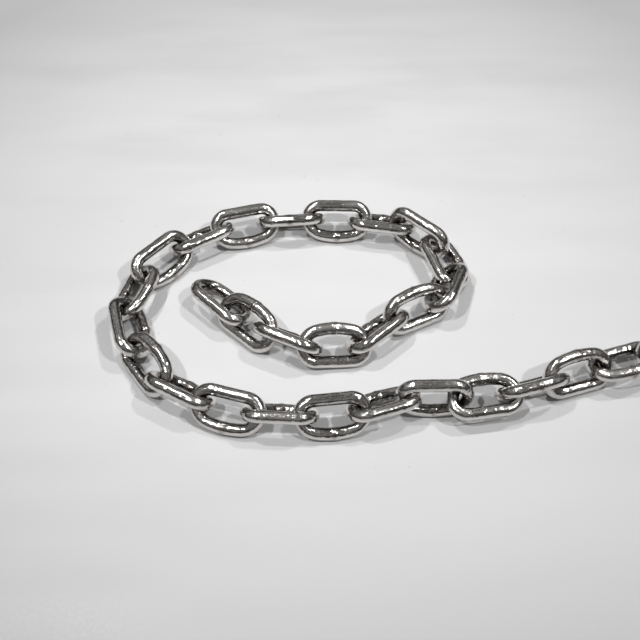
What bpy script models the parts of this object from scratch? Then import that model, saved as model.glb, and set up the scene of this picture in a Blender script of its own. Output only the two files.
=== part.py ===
"""A metre of polished stainless steel chain, lying in the open hook that it was put down in.

Every link is the same welded ring of round wire. The chain is laid link by link: each one leans,
rests on the floor, and is pulled along until its end bears on the link before it.
Lengths are in metres and angles in degrees.
"""
import math

import bpy
import numpy as np
from mathutils import Matrix

# Sizes of one link
WIRE = 0.006
PITCH = 0.0255
WIDTH = 0.0225
CORNER_RADIUS = 0.0068
BOW_RADIUS = 0.040

# Room left between two links that bear on each other
CLEARANCE = 0.0003

# How finely a link is drawn
WIRE_SIDES = 8
CORNER_STEPS = 4
CROWN_STEPS = 4
BOW_STEPS = 2

# Search for the seat of a link, in metres
SEARCH_STEP = 0.0002
SIDE_STEP = 0.0005
SIDE_PLAY = 0.0025
PULL_AHEAD = 0.0016
PULL_BACK = 0.0050
SAMPLE = 0.0007

# Colour of the polished steel
STEEL_COLOUR = (0.60, 0.585, 0.565, 1.0)
STEEL_ROUGHNESS = 0.16

LEFT, RIGHT = 1, -1

# The first link's middle, then each link: its heading, how far it leans over its left side (up is
# positive), how far its front end is raised, the side that its weld is on, its slack in mm, and in
# mm how far it is held off the floor by the links beside it
START = (-0.0492, 0.0060)
LAY = (
    (-44, -31, -2, LEFT, 0.0, 0.0),
    (-42, 44, 0, LEFT, 1.5, 0.0),
    (-25, -53, 0, LEFT, 1.0, 0.0),
    (5, 44, -4, LEFT, 0.5, 0.0),
    (42, -41, 0, LEFT, 0.0, 0.0),
    (26, 60, 0, LEFT, 0.0, 0.0),
    (69, -40, -10, LEFT, 2.2, 0.0),
    (110, 26, 2, RIGHT, 1.0, 0.0),
    (141, -80, 3, LEFT, 0.0, 0.0),
    (171, 34, 0, RIGHT, 0.0, 0.0),
    (179, -43, 0, LEFT, 0.0, 0.0),
    (182, 48, -3, LEFT, 0.0, 0.0),
    (194, -42, 0, LEFT, 0.0, 0.0),
    (210, 38, 0, RIGHT, 0.0, 0.0),
    (226, -44, -2, LEFT, 0.0, 0.0),
    (253, 34, 1, LEFT, 0.0, 0.0),
    (285, -40, 0, LEFT, 0.0, 0.0),
    (306, 45, 0, LEFT, 0.0, 0.0),
    (331, -44, 0, LEFT, 0.0, 0.0),
    (344, 38, 0, RIGHT, 0.0, 0.0),
    (357, -45, 0, LEFT, 0.0, 0.0),
    (366, 43, 1, RIGHT, 0.0, 0.0),
    (378, -33, 0, LEFT, 0.0, 2.2),
    (361, 79, 0, RIGHT, 0.0, 0.0),
    (369, 13, 0, LEFT, 0.0, 6.2),
    (377, -55, 0, RIGHT, 0.0, 1.6),
    (379, 54, -3, LEFT, 0.0, 0.0),
    (376, -18, 3, RIGHT, 0.0, 3.6),
    (365, 67, 0, LEFT, 0.0, 0.0),
    (360, -38, 0, RIGHT, 0.0, 0.1),
    (358, 60, 0, LEFT, 0.0, 0.0),
    (351, -42, 0, LEFT, 0.0, 0.0),
    (344, 48, 0, LEFT, 0.0, 0.0),
    (336, -45, 0, RIGHT, 0.0, 0.0),
    (328, 45, 0, LEFT, 0.0, 0.0),
    (320, -45, 0, LEFT, 0.0, 0.0),
    (312, 45, 0, LEFT, 0.0, 0.0),
    (304, -45, 0, RIGHT, 0.0, 0.0),
    (296, 45, 0, LEFT, 0.0, 0.0),
    (287, -40, 0, LEFT, 0.0, 0.0),
    (278, 75, 0, LEFT, 0.0, 0.0),
    (270, 0, -14, RIGHT, 0.0, 0.0),
)


def arc(centre, radius, start, end, steps):
    """Points along an arc, its first point included and its last left to the next arc."""
    angles = [start + (end - start) * k / steps for k in range(steps)]
    return [(centre[0] + radius * math.cos(a), centre[1] + radius * math.sin(a)) for a in angles]


def link_centreline(corner_steps, crown_steps, bow_steps):
    """Closed line down the middle of the wire: straight side at -Y, bowed and welded side at +Y."""
    half_length = (PITCH + WIRE) / 2
    half_width = (WIDTH - WIRE) / 2
    corner_x = half_length - CORNER_RADIUS
    corner_y = CORNER_RADIUS - half_width
    rise = half_width - corner_y
    crown_radius = (2 * BOW_RADIUS * rise - half_length**2 - rise**2) / (2 * (BOW_RADIUS - half_length))
    crown_x = half_length - crown_radius
    bow_y = half_width - BOW_RADIUS
    bow_turn = math.atan2(crown_x, corner_y - bow_y)
    quarter = math.pi / 2
    points = arc((corner_x, corner_y), CORNER_RADIUS, -quarter, 0, corner_steps)
    points += arc((crown_x, corner_y), crown_radius, 0, quarter - bow_turn, crown_steps)
    points += arc((0, bow_y), BOW_RADIUS, quarter - bow_turn, quarter + bow_turn, bow_steps)
    points += arc((-crown_x, corner_y), crown_radius, quarter + bow_turn, math.pi, crown_steps)
    points += arc((-corner_x, corner_y), CORNER_RADIUS, math.pi, math.pi + quarter, corner_steps)
    points.append((-corner_x, -half_width))
    return np.array([(x, y, 0.0) for x, y in points])


def filled_in(points):
    """The same closed line with points no further apart than SAMPLE."""
    line = []
    for here, there in zip(points, np.roll(points, -1, axis=0)):
        count = max(1, math.ceil(np.linalg.norm(there - here) / SAMPLE))
        line += [here + (there - here) * k / count for k in range(count)]
    return np.array(line)


def turned(heading, lean, rise):
    """Rotation of a link: it leans about its own length, its front rises, then it takes its heading."""
    about_z = Matrix.Rotation(math.radians(heading), 3, "Z")
    about_y = Matrix.Rotation(math.radians(-rise), 3, "Y")
    about_x = Matrix.Rotation(math.radians(lean), 3, "X")
    return np.array(about_z @ about_y @ about_x)


def room(line, other):
    """Least room between the wires of two links, from the lines down their middles."""
    apart = line[:, None, :] - other[None, :, :]
    return math.sqrt((apart**2).sum(axis=2).min()) - WIRE


def furthest_pull(line, spot, pull, other, least):
    """How far the link can be pulled before it bears on the last one, or None if it can't hang free."""
    for back in np.arange(-PULL_AHEAD, PULL_BACK, SEARCH_STEP):
        if -back < least:
            return None
        if room(line + spot - pull * back, other) >= CLEARANCE:
            return -back
    return None


def seat(line, spot, pull, aside, other):
    """Finds the sideways place in which the link can be pulled furthest, and pulls it there."""
    best, places = -PULL_BACK, []
    for side in np.arange(-SIDE_PLAY, SIDE_PLAY + SIDE_STEP / 2, SIDE_STEP):
        reach = furthest_pull(line, spot + aside * side, pull, other, best)
        if reach is not None and reach > best + SEARCH_STEP / 2:
            best, places = reach, [side]
        elif reach is not None:
            places.append(side)
    if not places:
        raise ValueError("a link has no seat")
    return spot + aside * (sum(places) / len(places)) + pull * best


def lean_against(line, spot, aside, other):
    """Slides a slack link sideways until its wire bears on the last one."""
    step = CLEARANCE / 4
    for count in range(1, 80):
        for side in (step, -step):
            if room(line + spot + aside * side * count, other) < CLEARANCE:
                return spot + aside * side * (count - 1)
    return spot


def lay_chain():
    """Rotation and place of every link, each one seated on the link before it."""
    drawn = filled_in(link_centreline(CORNER_STEPS, CROWN_STEPS, BOW_STEPS))
    half_length = np.array([(PITCH + WIRE) / 2, 0.0, 0.0])
    laid = []
    for heading, lean, rise, weld_side, slack, lift in LAY:
        rotation = turned(heading, lean, rise)
        line = (drawn * (1, weld_side, 1)) @ rotation.T
        height = WIRE / 2 - line[:, 2].min() + lift / 1000
        reach = rotation @ half_length
        ahead = np.array([math.cos(math.radians(heading)), math.sin(math.radians(heading)), 0.0])
        if laid:
            last = laid[-1]
            pull = (ahead + last["ahead"]) / np.linalg.norm(ahead + last["ahead"])
            aside = np.array([-pull[1], pull[0], 0.0])
            spot = last["spot"] + last["reach"] + reach - pull * (WIRE + CLEARANCE)
            spot[2] = height
            spot = seat(line, spot, pull, aside, last["line"])
            if slack:
                spot = lean_against(line, spot - pull * slack / 1000, aside, last["line"])
        else:
            spot = np.array([START[0], START[1], height])
        turn = rotation @ np.diag([weld_side, weld_side, 1.0])
        laid.append({"spot": spot, "turn": turn, "reach": reach, "ahead": ahead, "line": line + spot})
    return laid


def link_mesh():
    """Round wire swept along the link's centreline, as one closed mesh."""
    line = link_centreline(CORNER_STEPS, CROWN_STEPS, BOW_STEPS)
    before = np.roll(line, 1, axis=0)
    after = np.roll(line, -1, axis=0)
    up = np.array([0.0, 0.0, 1.0])
    points, faces = [], []
    for here, back, front in zip(line, before, after):
        arriving = (here - back) / np.linalg.norm(here - back)
        leaving = (front - here) / np.linalg.norm(front - here)
        along = (arriving + leaving) / np.linalg.norm(arriving + leaving)
        outward = np.cross(along, up)
        stretch = 1 / max(0.5, float(np.dot(along, leaving)))
        for side in range(WIRE_SIDES):
            angle = 2 * math.pi * (side + 0.5) / WIRE_SIDES
            across = outward * math.cos(angle) * stretch + up * math.sin(angle)
            points.append(here + across * WIRE / 2)
    rings = len(line)
    for ring in range(rings):
        for side in range(WIRE_SIDES):
            a = ring * WIRE_SIDES + side
            b = ring * WIRE_SIDES + (side + 1) % WIRE_SIDES
            c = (ring + 1) % rings * WIRE_SIDES + (side + 1) % WIRE_SIDES
            d = (ring + 1) % rings * WIRE_SIDES + side
            faces.append((a, d, c, b))
    mesh = bpy.data.meshes.new("link")
    mesh.from_pydata([tuple(p) for p in points], [], faces)
    mesh.validate()
    return mesh


def steel():
    """Polished stainless steel."""
    material = bpy.data.materials.new("polished_steel")
    material.use_nodes = True
    shader = material.node_tree.nodes["Principled BSDF"]
    shader.inputs["Base Color"].default_value = STEEL_COLOUR
    shader.inputs["Roughness"].default_value = STEEL_ROUGHNESS
    shader.inputs["Metallic"].default_value = 1.0
    return material


def centred(laid, mesh):
    """How far the whole chain moves so that the middle of its footprint is the origin."""
    points = np.array([vertex.co for vertex in mesh.vertices])
    ends = []
    for link in laid:
        placed = points @ link["turn"].T + link["spot"]
        ends += [placed.min(axis=0), placed.max(axis=0)]
    low, high = np.min(ends, axis=0), np.max(ends, axis=0)
    return np.array([(low[0] + high[0]) / 2, (low[1] + high[1]) / 2, low[2]])


def build():
    """Clears the scene and lays the chain."""
    for old in list(bpy.data.objects):
        bpy.data.objects.remove(old, do_unlink=True)
    mesh = link_mesh()
    mesh.materials.append(steel())
    laid = lay_chain()
    middle = centred(laid, mesh)
    for number, link in enumerate(laid, start=1):
        piece = bpy.data.objects.new(f"link_{number:02d}", mesh)
        bpy.context.scene.collection.objects.link(piece)
        piece.location = link["spot"] - middle
        piece.rotation_euler = Matrix(link["turn"].tolist()).to_euler()


build()
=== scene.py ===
# %% [markdown]
# # A metre of polished steel chain
#
# This notebook dresses a laid length of stainless steel chain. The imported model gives 42 plain links,
# each one a faceted ring at its exact place. Here every ring is replaced by a finely drawn one, made of
# round wire with its weld, its dents and its polish, at exactly the same place.

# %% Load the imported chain
import math

import bpy
import numpy as np
from mathutils import Matrix, Vector


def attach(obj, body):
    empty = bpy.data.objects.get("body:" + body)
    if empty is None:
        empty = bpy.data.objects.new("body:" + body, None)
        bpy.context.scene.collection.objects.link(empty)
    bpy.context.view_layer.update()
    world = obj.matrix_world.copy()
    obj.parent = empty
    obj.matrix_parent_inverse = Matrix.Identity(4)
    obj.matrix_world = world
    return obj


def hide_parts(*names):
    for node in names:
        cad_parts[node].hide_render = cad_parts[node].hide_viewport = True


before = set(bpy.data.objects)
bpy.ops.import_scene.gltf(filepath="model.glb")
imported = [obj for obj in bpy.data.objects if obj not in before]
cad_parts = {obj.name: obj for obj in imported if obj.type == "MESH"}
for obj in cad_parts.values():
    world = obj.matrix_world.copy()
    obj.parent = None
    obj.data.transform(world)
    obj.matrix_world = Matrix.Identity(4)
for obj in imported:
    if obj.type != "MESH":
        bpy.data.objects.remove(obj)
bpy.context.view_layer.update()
link_names = sorted(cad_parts)
print(len(link_names), "links from", link_names[0], "to", link_names[-1])

# %% [markdown]
# ## Where each link lies
#
# A link's place could be typed in again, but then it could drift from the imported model. It is measured
# instead. A ring of wire is longest along its length and thinnest across its plane, so the three main
# directions of its corner points give its turn. One long side is straight and the other is slightly
# bowed, and that side carries the weld. The corner points furthest out sit at the middle of the bow.

# %% Measure a link's middle and turn
EDGE_DEPTH = 0.0002


def corner_points(link):
    points = np.zeros(len(link.data.vertices) * 3)
    link.data.vertices.foreach_get("co", points)
    return np.unique(points.reshape(-1, 3).round(6), axis=0)


def link_pose(link):
    """Middle of the link, and its turn with the bowed and welded side at +Y."""
    points = corner_points(link)
    middle = points.mean(axis=0)
    directions = np.linalg.eigh(np.cov((points - middle).T))[1]
    length, across = directions[:, 2], directions[:, 1]
    out = (points - middle) @ across
    middle = middle + across * (out.max() + out.min()) / 2
    out = (points - middle) @ across
    reach = np.abs((points - middle) @ length)
    if reach[out > out.max() - EDGE_DEPTH].mean() > reach[out < out.min() + EDGE_DEPTH].mean():
        across = -across
    turn = np.column_stack([length, across, np.cross(length, across)])
    return middle, Matrix(turn.tolist()).to_euler()


poses = {name: link_pose(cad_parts[name]) for name in link_names}
first_middle = poses[link_names[0]][0]
print("first link's middle in mm:", (first_middle * 1000).round(1))

# %% [markdown]
# ## The camera
#
# The photograph looks down on the chain from the front, a little over half a metre away. The point in
# the middle of the picture is on the floor, beside the first link, so the camera is hung from there.
# Its distance, height and lens are estimates.

# %% Place the camera
CAMERA_DISTANCE = 0.551
CAMERA_ELEVATION = math.radians(52.5)
CAMERA_LENS = 60.75
CAMERA_SENSOR = 36.0
CAMERA_NEAR = 0.01
PICTURE_MIDDLE_FROM_FIRST_LINK = (0.0492, -0.0060)

aim = Vector((first_middle[0] + PICTURE_MIDDLE_FROM_FIRST_LINK[0],
              first_middle[1] + PICTURE_MIDDLE_FROM_FIRST_LINK[1], 0.0))
camera_data = bpy.data.cameras.new("photo_camera")
camera_data.lens = CAMERA_LENS
camera_data.sensor_width = CAMERA_SENSOR
camera_data.clip_start = CAMERA_NEAR
camera = bpy.data.objects.new("photo_camera", camera_data)
bpy.context.scene.collection.objects.link(camera)
back = Vector((0.0, -math.cos(CAMERA_ELEVATION), math.sin(CAMERA_ELEVATION)))
camera.location = aim + back * CAMERA_DISTANCE
camera.rotation_euler = back.to_track_quat("Z", "Y").to_euler()
bpy.context.scene.camera = camera
print("camera aims at", [round(v, 4) for v in aim])

# %% [markdown]
# ## The line down the middle of the wire
#
# A chain machine cuts a piece of wire, bends it round into a D and welds its two ends together in the
# middle of one side. Its middle line is a straight side, a bowed side and rounded ends that run smoothly
# into each other, so it is computed from the link's sizes. The two halves mirror each other, and only
# one is worked out. The points sit close together at the weld, where there is more to see.

# %% Draw the centreline
WIRE = 0.006
PITCH = 0.0255
WIDTH = 0.0225
CORNER_RADIUS = 0.0068
BOW_RADIUS = 0.040
WELD_STATIONS = (0.0, 0.0002, 0.0004, 0.0006, 0.0009, 0.0012, 0.0016, 0.0021, 0.0028)
BOW_POINTS = 4
CROWN_POINTS = 17
CORNER_POINTS = 15
STRAIGHT_POINTS = 9


def arc(centre, radius, angles):
    return [(centre[0] + radius * math.cos(a), centre[1] + radius * math.sin(a)) for a in angles]


def half_centreline():
    """The right half of the middle line, from the weld round to the middle of the straight side."""
    half_length = (PITCH + WIRE) / 2
    half_width = (WIDTH - WIRE) / 2
    corner_x = half_length - CORNER_RADIUS
    corner_y = CORNER_RADIUS - half_width
    rise = half_width - corner_y
    crown_radius = (2 * BOW_RADIUS * rise - half_length**2 - rise**2) / (2 * (BOW_RADIUS - half_length))
    crown_x = half_length - crown_radius
    bow_y = half_width - BOW_RADIUS
    bow_turn = math.atan2(crown_x, corner_y - bow_y)
    quarter = math.pi / 2
    bow = [quarter - step / BOW_RADIUS for step in WELD_STATIONS if step / BOW_RADIUS < bow_turn]
    bow += list(np.linspace(bow[-1], quarter - bow_turn, BOW_POINTS)[1:])
    crown = np.linspace(quarter - bow_turn, 0, CROWN_POINTS)[1:]
    corner = np.linspace(0, -quarter, CORNER_POINTS)[1:]
    points = arc((0, bow_y), BOW_RADIUS, bow)
    points += arc((crown_x, corner_y), crown_radius, crown)
    points += arc((corner_x, corner_y), CORNER_RADIUS, corner)
    points += [(corner_x * part, -half_width) for part in np.linspace(1, 0, STRAIGHT_POINTS)[1:]]
    return points


def centreline_object():
    right = half_centreline()
    left = [(-x, y) for x, y in right[-2:0:-1]]
    points = [(x, y, 0.0) for x, y in right + left]
    edges = [(k, (k + 1) % len(points)) for k in range(len(points))]
    mesh = bpy.data.meshes.new("wire_centreline")
    mesh.from_pydata(points, edges, [])
    line = bpy.data.objects.new("wire_centreline", mesh)
    bpy.context.scene.collection.objects.link(line)
    print("centreline of", len(points), "points")
    return line


centreline = centreline_object()

# %% [markdown]
# ## Small helpers for node trees
#
# A node tree built in a script is a list of boxes and wires. Three helpers keep it readable: one adds a
# box, one joins two sockets, and one does a sum on numbers or sockets.


# %% Helpers for node trees
def add(tree, kind, **settings):
    node = tree.nodes.new(kind)
    for name, value in settings.items():
        setattr(node, name, value)
    return node


def join(tree, source, target):
    tree.links.new(source, target)


def math_node(tree, operation, first, second=None):
    node = add(tree, "ShaderNodeMath", operation=operation)
    for socket, value in zip(node.inputs, (first, second)):
        if value is None:
            continue
        if isinstance(value, (int, float)):
            socket.default_value = value
        else:
            join(tree, value, socket)
    return node.outputs[0]


print("helpers ready")

# %% [markdown]
# ## The sizes that a link's tree takes
#
# All links are made the same way, so the making is one node tree with named inputs. The wire is drawn
# 0.15 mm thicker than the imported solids' 6 mm, because it looks thicker in the photograph. The closest
# two links still clear each other by about a tenth of a millimetre. Each link passes in its own place,
# turn and seed, so no two links have the same dents.

# %% Inputs of the tree
DRAWN_WIRE = 0.00615
LINK_INPUTS = (
    ("Wire", "NodeSocketFloat", DRAWN_WIRE),
    ("Sides", "NodeSocketInt", 32),
    ("Weld height", "NodeSocketFloat", 0.00028),
    ("Weld width", "NodeSocketFloat", 0.0013),
    ("Seam depth", "NodeSocketFloat", 0.00026),
    ("Seam width", "NodeSocketFloat", 0.00025),
    ("Dent depth", "NodeSocketFloat", 0.00016),
    ("Dent size", "NodeSocketFloat", 0.0045),
    ("Ripple depth", "NodeSocketFloat", 0.00006),
    ("Ripple size", "NodeSocketFloat", 0.0016),
    ("Seed", "NodeSocketFloat", 0.0),
    ("Place", "NodeSocketVector", (0.0, 0.0, 0.0)),
    ("Turn", "NodeSocketVector", (0.0, 0.0, 0.0)),
    ("Finish", "NodeSocketMaterial", None),
)


def tree_with_inputs():
    tree = bpy.data.node_groups.new("welded_link", "GeometryNodeTree")
    tree.interface.new_socket("Geometry", in_out="INPUT", socket_type="NodeSocketGeometry")
    tree.interface.new_socket("Geometry", in_out="OUTPUT", socket_type="NodeSocketGeometry")
    for name, kind, value in LINK_INPUTS:
        socket = tree.interface.new_socket(name, in_out="INPUT", socket_type=kind)
        if value is not None:
            socket.default_value = value
    return tree, add(tree, "NodeGroupInput").outputs


print(len(LINK_INPUTS), "inputs for a link")

# %% [markdown]
# ## Sweep the wire
#
# A real link is wire bent round, and Curve to Mesh does the same: it sweeps a circle along the line.
# Before that, two captures write down where each point will lie on the wire, how far along it and where
# across it, because the weld and the polish both follow the wire.


# %% Sweep a circle round the line
def swept_wire(tree, given):
    to_curve = add(tree, "GeometryNodeMeshToCurve")
    normals = add(tree, "GeometryNodeSetCurveNormal", mode="Z_UP")
    stations = add(tree, "GeometryNodeCaptureAttribute")
    stations.capture_items.new("FLOAT", "Along")
    join(tree, given["Geometry"], to_curve.inputs[0])
    join(tree, to_curve.outputs[0], normals.inputs[0])
    join(tree, normals.outputs[0], stations.inputs["Geometry"])
    join(tree, add(tree, "GeometryNodeSplineParameter").outputs["Length"], stations.inputs["Along"])

    circle = add(tree, "GeometryNodeCurvePrimitiveCircle")
    join(tree, given["Sides"], circle.inputs["Resolution"])
    join(tree, math_node(tree, "DIVIDE", given["Wire"], 2.0), circle.inputs["Radius"])
    around = add(tree, "GeometryNodeCaptureAttribute")
    around.capture_items.new("VECTOR", "Across")
    join(tree, circle.outputs[0], around.inputs["Geometry"])
    join(tree, add(tree, "GeometryNodeInputPosition").outputs[0], around.inputs["Across"])

    sweep = add(tree, "GeometryNodeCurveToMesh")
    join(tree, stations.outputs["Geometry"], sweep.inputs["Curve"])
    join(tree, around.outputs["Geometry"], sweep.inputs["Profile Curve"])

    whole = add(tree, "GeometryNodeCurveLength")
    join(tree, to_curve.outputs[0], whole.inputs[0])
    along = stations.outputs["Along"]
    other_way = math_node(tree, "SUBTRACT", whole.outputs[0], along)
    from_weld = math_node(tree, "MINIMUM", along, other_way)
    return sweep.outputs[0], around.outputs["Across"], from_weld


# %% [markdown]
# ## The weld and the dents
#
# The weld pushes up a low collar, with a fine seam where the two ends met. Tumbling leaves shallow dents
# and small ripples. Each is a height on the surface, and their sum moves every point along its normal,
# so that they are real shape and not only shading.

# %% Heights on the wire
COLLAR_UNEVENNESS = 1.6
COLLAR_LEVEL = 0.9


def noise_height(tree, position, size, seed, depth, detail):
    """Noise on the wire's surface, from minus half its depth to plus half."""
    noise = add(tree, "ShaderNodeTexNoise", noise_dimensions="4D")
    noise.inputs["Detail"].default_value = detail
    join(tree, position, noise.inputs["Vector"])
    join(tree, seed, noise.inputs["W"])
    join(tree, math_node(tree, "DIVIDE", 1.0, size), noise.inputs["Scale"])
    return math_node(tree, "MULTIPLY", math_node(tree, "SUBTRACT", noise.outputs[0], 0.5), depth)


def bell(tree, distance, width):
    """One at the weld, and down to nothing a width or two away from it."""
    share = math_node(tree, "DIVIDE", distance, width)
    square = math_node(tree, "MULTIPLY", share, share)
    return math_node(tree, "EXPONENT", math_node(tree, "MULTIPLY", square, -1.0))


def surface_height(tree, given, from_weld):
    position = add(tree, "GeometryNodeInputPosition").outputs[0]
    seed = given["Seed"]
    collar = math_node(tree, "MULTIPLY", bell(tree, from_weld, given["Weld width"]), given["Weld height"])
    seam = math_node(tree, "MULTIPLY", bell(tree, from_weld, given["Seam width"]), given["Seam depth"])
    rough = noise_height(tree, position, given["Ripple size"], seed, COLLAR_UNEVENNESS, 1.0)
    collar = math_node(tree, "MULTIPLY", collar, math_node(tree, "ADD", rough, COLLAR_LEVEL))
    dents = noise_height(tree, position, given["Dent size"], seed, given["Dent depth"], 0.0)
    ripples = noise_height(tree, position, given["Ripple size"], seed, given["Ripple depth"], 1.0)
    height = math_node(tree, "SUBTRACT", math_node(tree, "ADD", collar, dents), seam)
    return math_node(tree, "ADD", height, ripples)


def pushed_out(tree, wire, height):
    push = add(tree, "ShaderNodeVectorMath", operation="SCALE")
    join(tree, add(tree, "GeometryNodeInputNormal").outputs[0], push.inputs[0])
    join(tree, height, push.inputs["Scale"])
    shaped = add(tree, "GeometryNodeSetPosition")
    join(tree, wire, shaped.inputs["Geometry"])
    join(tree, push.outputs[0], shaped.inputs["Offset"])
    return shaped.outputs[0]


# %% [markdown]
# ## Coordinates along the wire, and the link's place
#
# The drawing lines, the weld's tint and the painted shade on the inner side all follow the wire, so the
# tree stores each point's place on it in an attribute called wire_way. Then the ring is carried to its
# place. Realize Instances and Set Material come last, because the export keeps plain meshes only.


# %% Store the wire's own coordinates
def with_wire_way(tree, wire, across, from_weld):
    way = add(tree, "ShaderNodeCombineXYZ")
    parts = add(tree, "ShaderNodeSeparateXYZ")
    join(tree, across, parts.inputs[0])
    join(tree, parts.outputs[0], way.inputs[0])
    join(tree, parts.outputs[1], way.inputs[1])
    join(tree, from_weld, way.inputs[2])
    marked = add(tree, "GeometryNodeStoreNamedAttribute", data_type="FLOAT_VECTOR", domain="POINT")
    marked.inputs["Name"].default_value = "wire_way"
    join(tree, wire, marked.inputs["Geometry"])
    join(tree, way.outputs[0], marked.inputs["Value"])
    return marked.outputs[0]


# %% Carry the ring to its place and finish the tree
def carried_and_finished(tree, given, wire):
    smooth = add(tree, "GeometryNodeSetShadeSmooth")
    carried = add(tree, "GeometryNodeTransform")
    realised = add(tree, "GeometryNodeRealizeInstances")
    finished = add(tree, "GeometryNodeSetMaterial")
    join(tree, wire, smooth.inputs["Geometry"])
    join(tree, smooth.outputs[0], carried.inputs["Geometry"])
    join(tree, given["Place"], carried.inputs["Translation"])
    join(tree, given["Turn"], carried.inputs["Rotation"])
    join(tree, carried.outputs[0], realised.inputs[0])
    join(tree, realised.outputs[0], finished.inputs["Geometry"])
    join(tree, given["Finish"], finished.inputs["Material"])
    return finished.outputs[0]


def link_tree():
    tree, given = tree_with_inputs()
    wire, across, from_weld = swept_wire(tree, given)
    wire = pushed_out(tree, wire, surface_height(tree, given, from_weld))
    wire = with_wire_way(tree, wire, across, from_weld)
    finished = carried_and_finished(tree, given, wire)
    join(tree, finished, add(tree, "NodeGroupOutput").inputs[0])
    return tree


welded_link = link_tree()
print("link tree with", len(welded_link.nodes), "nodes")

# %% [markdown]
# ## Helpers for materials
#
# Every finish here is built from the same few moves: a noise, a change of range, a mix of two colours, a
# stretched copy of the coordinates and a bump. Each gets a short name.


# %% Helpers for materials
def noise_node(tree, vector, scale, detail):
    node = add(tree, "ShaderNodeTexNoise")
    node.inputs["Scale"].default_value = scale
    node.inputs["Detail"].default_value = detail
    join(tree, vector, node.inputs["Vector"])
    return node.outputs[0]


def ranged(tree, value, low, high, to_low, to_high):
    node = add(tree, "ShaderNodeMapRange")
    for name, number in (("From Min", low), ("From Max", high), ("To Min", to_low), ("To Max", to_high)):
        node.inputs[name].default_value = number
    join(tree, value, node.inputs["Value"])
    return node.outputs[0]


def mixed(tree, factor, first, second):
    node = add(tree, "ShaderNodeMix", data_type="RGBA")
    join(tree, factor, node.inputs["Factor"])
    for socket, colour in ((node.inputs["A"], first), (node.inputs["B"], second)):
        if isinstance(colour, tuple):
            socket.default_value = colour
        else:
            join(tree, colour, socket)
    return node.outputs["Result"]


def stretched(tree, vector, scale, turn=0.0):
    node = add(tree, "ShaderNodeMapping")
    node.inputs["Scale"].default_value = scale
    node.inputs["Rotation"].default_value = (0.0, 0.0, turn)
    join(tree, vector, node.inputs["Vector"])
    return node.outputs[0]


def bumped(tree, height, distance, strength, before=None):
    node = add(tree, "ShaderNodeBump")
    node.inputs["Distance"].default_value = distance
    node.inputs["Strength"].default_value = strength
    join(tree, height, node.inputs["Height"])
    if before is not None:
        join(tree, before, node.inputs["Normal"])
    return node.outputs[0]


def grey(tone):
    return (tone, tone, tone, 1.0)


print("material helpers ready")

# %% [markdown]
# ## Polished stainless steel
#
# The wire is drawn through a die, which leaves very fine lines along it, and the finished chain is
# tumbled with steel media until it shines, which rounds the lines off and leaves shallow dimples. So the
# finish is a bright metal with lines along the wire, dimples, and a weld that the heat has left darker
# and rougher. Some stretches are worn glossier than others.
#
# The inner side of each link, which faces into its eye and towards its neighbours, is painted nearly
# black. That is painted shade for the hollow between the links, added to the darkness that the steel
# really mirrors there. Some of that is what it mirrors, and some may be steel that the media don't
# reach: the photograph doesn't tell them apart. The finish simply paints that side dark, which is a
# guess that suits this light and may be too dark in another.

# %% Colours and sizes of the steel
STEEL_BRIGHT = (0.68, 0.66, 0.642, 1.0)
STEEL_DULL = (0.57, 0.55, 0.531, 1.0)
WELD_TINT = (0.24, 0.21, 0.185, 1.0)
# near black painted shade for the inner side of each link, where it faces its neighbours
INNER_PAINTED_SHADE = (0.04, 0.034, 0.03, 1.0)
WELD_TINT_NEAR, WELD_TINT_FAR = 0.0003, 0.0022
INNER_EDGE, INNER_FULL = 0.0008, 0.0028
LINE_SCALE = (2600.0, 2600.0, 130.0)
PATCH_SCALE, DIMPLE_SCALE, WEAR_SCALE = 160.0, 560.0, 45.0
GLOSSY, WORN, WELD_ROUGHER = 0.06, 0.20, 0.12
DIMPLE_DEPTH, LINE_DEPTH, RELIEF = 0.0003, 0.00002, 0.8


# %% Make the steel
def steel_colour(tree, place, parts, dimples):
    """Colour of the steel with painted shade on its inner side, and how much of each point belongs to the
    weld.
    """
    patches = noise_node(tree, place, PATCH_SCALE, 3.0)
    weld = ranged(tree, parts.outputs[2], WELD_TINT_NEAR, WELD_TINT_FAR, 1.0, 0.0)
    weld = math_node(tree, "MULTIPLY", weld, ranged(tree, dimples, 0.3, 0.7, 0.25, 0.95))
    # painted shade: the inner side of the wire, towards the link's eye, goes towards near black
    inner = ranged(tree, parts.outputs[0], INNER_EDGE, INNER_FULL, 0.0, 1.0)
    inner = math_node(tree, "MULTIPLY", inner, ranged(tree, dimples, 0.35, 0.65, 0.45, 1.0))
    colour = mixed(tree, ranged(tree, patches, 0.35, 0.7, 0.0, 1.0), STEEL_BRIGHT, STEEL_DULL)
    colour = mixed(tree, inner, colour, INNER_PAINTED_SHADE)
    return mixed(tree, weld, colour, WELD_TINT), weld


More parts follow.
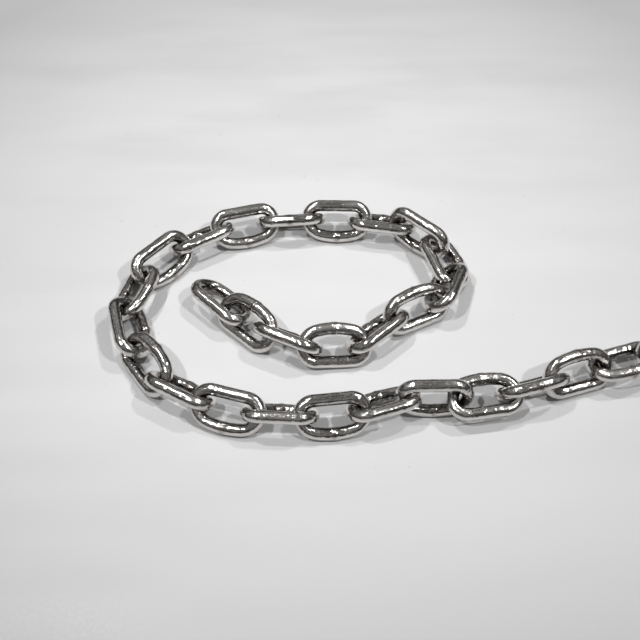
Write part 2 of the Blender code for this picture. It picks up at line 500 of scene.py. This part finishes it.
def steel_finish():
    material = bpy.data.materials.new("polished_steel_wire")
    material.use_nodes = True
    tree = material.node_tree
    shader = tree.nodes["Principled BSDF"]
    shader.inputs["Metallic"].default_value = 1.0
    place = add(tree, "ShaderNodeTexCoord").outputs["Object"]
    way = add(tree, "ShaderNodeAttribute", attribute_name="wire_way").outputs["Vector"]
    parts = add(tree, "ShaderNodeSeparateXYZ")
    join(tree, way, parts.inputs[0])
    dimples = noise_node(tree, place, DIMPLE_SCALE, 2.0)
    colour, weld = steel_colour(tree, place, parts, dimples)
    join(tree, colour, shader.inputs["Base Color"])

    wear = noise_node(tree, place, WEAR_SCALE, 1.0)
    roughness = ranged(tree, wear, 0.36, 0.64, GLOSSY, WORN)
    rougher = math_node(tree, "MULTIPLY", weld, WELD_ROUGHER)
    join(tree, math_node(tree, "ADD", roughness, rougher), shader.inputs["Roughness"])

    lines = noise_node(tree, stretched(tree, way, LINE_SCALE), 1.0, 2.0)
    relief = bumped(tree, dimples, DIMPLE_DEPTH, RELIEF)
    join(tree, bumped(tree, lines, LINE_DEPTH, RELIEF, relief), shader.inputs["Normal"])
    return material


steel = steel_finish()
print("steel with", len(steel.node_tree.nodes), "nodes")

# %% [markdown]
# ## Lay the links
#
# Each link gets its own copy of the centreline with the tree on it, and the tree's result is kept as a
# plain mesh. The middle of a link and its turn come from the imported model, so the new ring lies exactly
# over the plain one, which is then hidden. A modifier's inputs go by identifiers and not by names, so a
# helper looks them up.

# %% Make every link
SEED_STEP = 7.3


def set_inputs(modifier, tree, values):
    for item in tree.interface.items_tree:
        if item.item_type == "SOCKET" and item.in_out == "INPUT" and item.name in values:
            modifier[item.identifier] = values[item.name]


def make_link(number, name):
    middle, turn = poses[name]
    maker = bpy.data.objects.new("link_maker", centreline.data)
    bpy.context.scene.collection.objects.link(maker)
    modifier = maker.modifiers.new("welded_link", "NODES")
    modifier.node_group = welded_link
    set_inputs(modifier, welded_link, {
        "Seed": SEED_STEP * number, "Place": tuple(middle), "Turn": tuple(turn), "Finish": steel})
    graph = bpy.context.evaluated_depsgraph_get()
    mesh = bpy.data.meshes.new_from_object(maker.evaluated_get(graph))
    bpy.data.objects.remove(maker)
    mesh.name = f"steel_{name}"
    piece = bpy.data.objects.new(f"steel_{name}", mesh)
    bpy.context.scene.collection.objects.link(piece)
    return piece


links = [make_link(number, name) for number, name in enumerate(link_names, start=1)]
bpy.data.objects.remove(centreline)
print(len(links), "links of", len(links[0].data.polygons), "faces each")

# %% [markdown]
# ## Each ring rides on the root and takes its packed link's place
#
# The chain is one rigid body here, so every ring rides on the root. Each ring takes the place of one
# packed link and carries the same steel.

# %% Ride and replace
for piece, name in zip(links, link_names):
    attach(piece, "root")
    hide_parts(name)
print(len(links), "links stand for their packed ones")

# %% [markdown]
# ## The floor
#
# The chain lies on a white sheet that shines a little and isn't quite flat. In the photograph the sheet
# is palest around the chain and greyer towards the picture's edges. Lamps hung close to the chain would
# give such a fall-off, but they left the other sides dark. Here it is painted instead: the sheet's own
# colour changes with the distance from one spot, 65 mm beyond the point that the camera is aimed at.
# That is a trick for one picture. The spot stays on the floor when the camera moves, so from other sides
# it shows as a pale disc. Giving GREYER_TONES the values of PALE_TONES takes it away.
#
# The waves are real bumps, and the sheet's colour also goes a little lighter on their crests and darker
# in their troughs, which is painted shading. The soft creases are painted shade only: darker streaks with
# no bump, stronger towards the far side. With a few specks of dust they keep the far part from looking
# like a backdrop.

# %% Sizes and tones of the floor
FLOOR_HALF = 6.0
FLOOR_LEVEL = -0.0002
PALE_SPOT_BEYOND_AIM = 0.065
PALE_REACH = (0.24, 0.23, 1.0)
PALE_TONES = (0.60, 0.64)
GREYER_TONES = (0.365, 0.405)
# grey of the painted shade in the sheet's creases
CREASE_PAINTED_SHADE = 0.42
DUST_COLOUR = (0.45, 0.45, 0.44, 1.0)
SHEET_SHINE = 0.28
SHEET_ROUGHNESS = (0.38, 0.50)
WAVE_STRETCH, WAVE_TURN, WAVE_SCALE = (1.6, 5.0, 1.0), 0.12, 2.2
WAVE_DEPTH, WAVE_RELIEF = 0.016, 0.6
CREASE_STRETCH, CREASE_TURN = (8.0, 34.0, 1.0), -0.2
GRAIN_SCALE, DUST_SCALE = 900.0, 260.0


def from_pale_spot(tree, place):
    """Place on the floor from the pale spot, in reaches."""
    node = add(tree, "ShaderNodeMapping", vector_type="TEXTURE")
    node.inputs["Location"].default_value = (aim.x, aim.y + PALE_SPOT_BEYOND_AIM, 0.0)
    node.inputs["Scale"].default_value = PALE_REACH
    join(tree, place, node.inputs["Vector"])
    return node.outputs[0]


# %% Make the sheet's finish
def sheet_tone(tree, place, waves):
    away = from_pale_spot(tree, place)
    squared = add(tree, "ShaderNodeVectorMath", operation="DOT_PRODUCT")
    join(tree, away, squared.inputs[0])
    join(tree, away, squared.inputs[1])
    fall_off = ranged(tree, squared.outputs["Value"], 0.0, 1.3, 0.0, 1.0)
    # painted shading: the tone goes lighter on the waves' crests and darker in their troughs
    pale = mixed(tree, waves, grey(PALE_TONES[0]), grey(PALE_TONES[1]))
    greyer = mixed(tree, waves, grey(GREYER_TONES[0]), grey(GREYER_TONES[1]))
    tone = mixed(tree, fall_off, pale, greyer)
    # painted shade: darker streaks where the sheet's creases are, stronger towards the far side
    creases = noise_node(tree, stretched(tree, place, CREASE_STRETCH, CREASE_TURN), 1.0, 3.0)
    parts = add(tree, "ShaderNodeSeparateXYZ")
    join(tree, away, parts.inputs[0])
    towards_far_side = ranged(tree, parts.outputs[1], -0.3, 0.7, 0.06, 0.38)
    creased = math_node(tree, "MULTIPLY", ranged(tree, creases, 0.42, 0.66, 0.0, 1.0), towards_far_side)
    return mixed(tree, creased, tone, grey(CREASE_PAINTED_SHADE))


def sheet_finish():
    material = bpy.data.materials.new("white_sheet")
    material.use_nodes = True
    tree = material.node_tree
    shader = tree.nodes["Principled BSDF"]
    shader.inputs["Specular IOR Level"].default_value = SHEET_SHINE
    place = add(tree, "ShaderNodeTexCoord").outputs["Object"]
    waves = noise_node(tree, stretched(tree, place, WAVE_STRETCH, WAVE_TURN), WAVE_SCALE, 2.0)
    grain = noise_node(tree, place, GRAIN_SCALE, 2.0)
    dust = ranged(tree, noise_node(tree, place, DUST_SCALE, 0.0), 0.84, 0.87, 0.0, 0.4)
    tone = sheet_tone(tree, place, waves)
    join(tree, mixed(tree, dust, tone, DUST_COLOUR), shader.inputs["Base Color"])
    join(tree, ranged(tree, grain, 0.3, 0.7, *SHEET_ROUGHNESS), shader.inputs["Roughness"])
    join(tree, bumped(tree, waves, WAVE_DEPTH, WAVE_RELIEF), shader.inputs["Normal"])
    return material


# %% Lay the floor
def lay_floor():
    mesh = bpy.data.meshes.new("floor_sheet")
    corners = [(-1, -1), (1, -1), (1, 1), (-1, 1)]
    points = [(x * FLOOR_HALF, y * FLOOR_HALF, FLOOR_LEVEL) for x, y in corners]
    mesh.from_pydata(points, [], [(0, 1, 2, 3)])
    mesh.materials.append(sheet_finish())
    sheet = bpy.data.objects.new("floor_sheet", mesh)
    bpy.context.scene.collection.objects.link(sheet)
    return sheet


floor = lay_floor()
print("floor with", len(floor.data.materials[0].node_tree.nodes), "nodes in its finish")

# %% [markdown]
# ## The lamps
#
# The chain's shadows in the photograph lie over one another in several directions. Four lamps, each
# opposite one of those directions, give nearly the same shadows. They are small, so the shadows are
# crisp, and hang high, so the shadows of all the links point the same way. A larger size softens them.

# %% Hang the lamps
LAMP_COLOUR = (0.995, 0.995, 1.0)
LAMP_SIZE = 0.10
LAMPS = (
    # name, place, power
    ("lamp_far_left", (-0.60, 0.40, 2.0), 14.3),
    ("lamp_near_right", (1.20, -0.60, 2.0), 22.2),
    ("lamp_far_right", (1.00, 0.60, 2.0), 14.8),
    ("lamp_near_left", (-0.80, -0.60, 2.0), 19.3),
)


def hang_lamp(name, place, power):
    data = bpy.data.lights.new(name, "AREA")
    data.size = LAMP_SIZE
    data.energy = power
    data.color = LAMP_COLOUR
    lamp = bpy.data.objects.new(name, data)
    lamp.location = Vector(place) + aim
    lamp.rotation_euler = (lamp.location - aim).to_track_quat("Z", "Y").to_euler()
    bpy.context.scene.collection.objects.link(lamp)
    return lamp


lamps = [hang_lamp(*lamp) for lamp in LAMPS]
print(len(lamps), "lamps")

# %% [markdown]
# ## The room around
#
# Polished steel looks like what it mirrors. A room with one even tone would make it look like grey
# plastic, so the ceiling has soft bright patches with darker ones between them, the walls are dark, and
# the side that the photograph was taken from is dimmer.

# %% Make the room
CEILING = (0.53, 0.525, 0.515, 1.0)
SHADE = (0.11, 0.108, 0.105, 1.0)
WALL = (0.06, 0.059, 0.057, 1.0)
ROOM_STRENGTH = 0.8
PATCH_SIZE = 2.6


def room_light():
    world = bpy.data.worlds.new("room")
    bpy.context.scene.world = world
    world.use_nodes = True
    tree = world.node_tree
    direction = add(tree, "ShaderNodeTexCoord").outputs["Generated"]
    parts = add(tree, "ShaderNodeSeparateXYZ")
    join(tree, direction, parts.inputs[0])
    patches = noise_node(tree, direction, PATCH_SIZE, 1.0)
    above = mixed(tree, ranged(tree, patches, 0.40, 0.56, 0.0, 1.0), SHADE, CEILING)
    ahead = ranged(tree, parts.outputs[1], -0.25, 0.30, 0.5, 1.0)
    up = ranged(tree, parts.outputs[2], 0.30, 0.55, 0.0, 1.0)
    up = math_node(tree, "MULTIPLY", up, ahead)
    background = tree.nodes["Background"]
    join(tree, mixed(tree, up, WALL, above), background.inputs["Color"])
    background.inputs["Strength"].default_value = ROOM_STRENGTH
    return world


room = room_light()
bpy.context.scene.view_settings.view_transform = "Standard"
print("room with", len(room.node_tree.nodes), "nodes")
